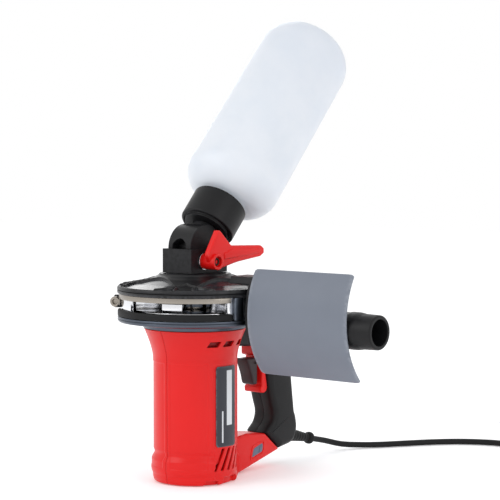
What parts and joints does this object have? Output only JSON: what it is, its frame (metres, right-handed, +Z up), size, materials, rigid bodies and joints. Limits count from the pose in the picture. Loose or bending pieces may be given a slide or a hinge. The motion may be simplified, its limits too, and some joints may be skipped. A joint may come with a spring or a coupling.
{
  "type": "hand-held electric wheel blaster",
  "caption": "Corded hand-held wheel blaster: red motor body with D-handle and trigger, polished throwing wheel, swivelling abrasive bottle with clamp lever, dust tube and guard.",
  "frame": {"origin": "centre of the flat base, on the motor's axis", "axes": "+Z up the motor's axis, +X towards the dust outlet tube, +Y towards the handle, -Y the way the abrasive is thrown"},
  "size_m": [0.2899, 0.5301, 0.4409],
  "materials": {
    "red_shell": "moulded, fine satin",
    "black_plastic": "moulded, satin",
    "black_rubber": "matt",
    "dark_trigger": "satin",
    "cast_alloy": "die cast, machined faces",
    "polished_steel": "polished",
    "plain_steel": "turned",
    "copper": "enamelled winding",
    "label_film": "printed film",
    "grey_button": "satin",
    "grey_guard": "smooth sheet",
    "bottle_plastic": "translucent, blow moulded"
  },
  "bodies": {
    "housing": {"housing_right": "red_shell", "housing_left": "red_shell", "base_cap": "red_shell", "trigger_frame": "red_shell", "grip_right": "black_plastic", "grip_left": "black_plastic", "top_cover": "black_plastic", "cradle_block": "black_plastic", "clamp_band": "black_plastic", "clamp_hook": "black_plastic", "suction_duct": "black_plastic", "hose_connector": "black_plastic", "guard_bracket": "black_plastic", "switch_module": "black_plastic", "brush_holder_right": "black_plastic", "brush_holder_left": "black_plastic", "plug": "black_plastic", "cord_tie": "black_plastic", "mouth_lip": "black_rubber", "strain_relief": "black_rubber", "cord": "black_rubber", "cord_coil": "black_rubber", "adapter_flange": "cast_alloy", "mouth_post": "cast_alloy", "control_cage": "cast_alloy", "feed_bush": "cast_alloy", "chamber_liner": "polished_steel", "stator": "plain_steel", "lower_bearing": "plain_steel", "upper_bearing": "plain_steel", "clamp_bolt": "plain_steel", "clamp_nut": "plain_steel", "trigger_pin": "plain_steel", "housing_screw_front_low": "plain_steel", "housing_screw_front_high": "plain_steel", "housing_screw_back_low": "plain_steel", "housing_screw_back_high": "plain_steel", "grip_screw_low": "plain_steel", "grip_screw_high": "plain_steel", "field_coil_low": "copper", "field_coil_high": "copper", "name_plate": "label_film", "guard_sheet": "grey_guard"},
    "rotor": {"rotor_core": "plain_steel", "motor_shaft": "plain_steel", "commutator": "copper", "cooling_fan": "black_plastic", "blast_wheel": "polished_steel", "wheel_cover_disc": "plain_steel", "feed_impeller": "plain_steel", "wheel_nut": "plain_steel"},
    "trigger": {"trigger": "dark_trigger"},
    "lock_button": {"lock_button": "grey_button"},
    "clamp_lever": {"clamp_lever": "red_shell", "clamp_screw": "plain_steel", "lever_washer": "polished_steel"},
    "hopper": {"swivel_drum": "black_plastic", "bottle_cap": "black_plastic", "cap_gasket": "black_rubber"},
    "bottle": {"media_bottle": "bottle_plastic"}
  },
  "joints": [
    {"name": "rotor_spin", "type": "hinge", "parent": "housing", "child": "rotor", "pos_m": [0, 0, 0.1], "axis": [0, 0, 1], "continuous": true},
    {"name": "trigger_pull", "type": "hinge", "parent": "housing", "child": "trigger", "pos_m": [0, 0.0805, 0.105], "axis": [1, 0, 0], "range_deg": [0, 6], "stiffness_Nm_per_rad": 0.3, "springref_deg": -11.46},
    {"name": "lock_button_press", "type": "slide", "parent": "housing", "child": "lock_button", "axis": [-1, 0, 0], "range_m": [0, 0.003], "stiffness_N_per_m": 300, "springref_m": -0.002},
    {"name": "clamp_lever_turn", "type": "hinge", "parent": "housing", "child": "clamp_lever", "pos_m": [0.018, -0.0075, 0.2095], "axis": [1, 0, 0], "range_deg": [0, 20]},
    {"name": "hopper_swivel", "type": "hinge", "parent": "housing", "child": "hopper", "pos_m": [0, 0, 0.221], "axis": [1, 0, 0], "range_deg": [0, 90]},
    {"name": "bottle_lift", "type": "slide", "parent": "hopper", "child": "bottle", "axis": [0, 0.6691, 0.7431], "range_m": [0, 0.05]}
  ]
}
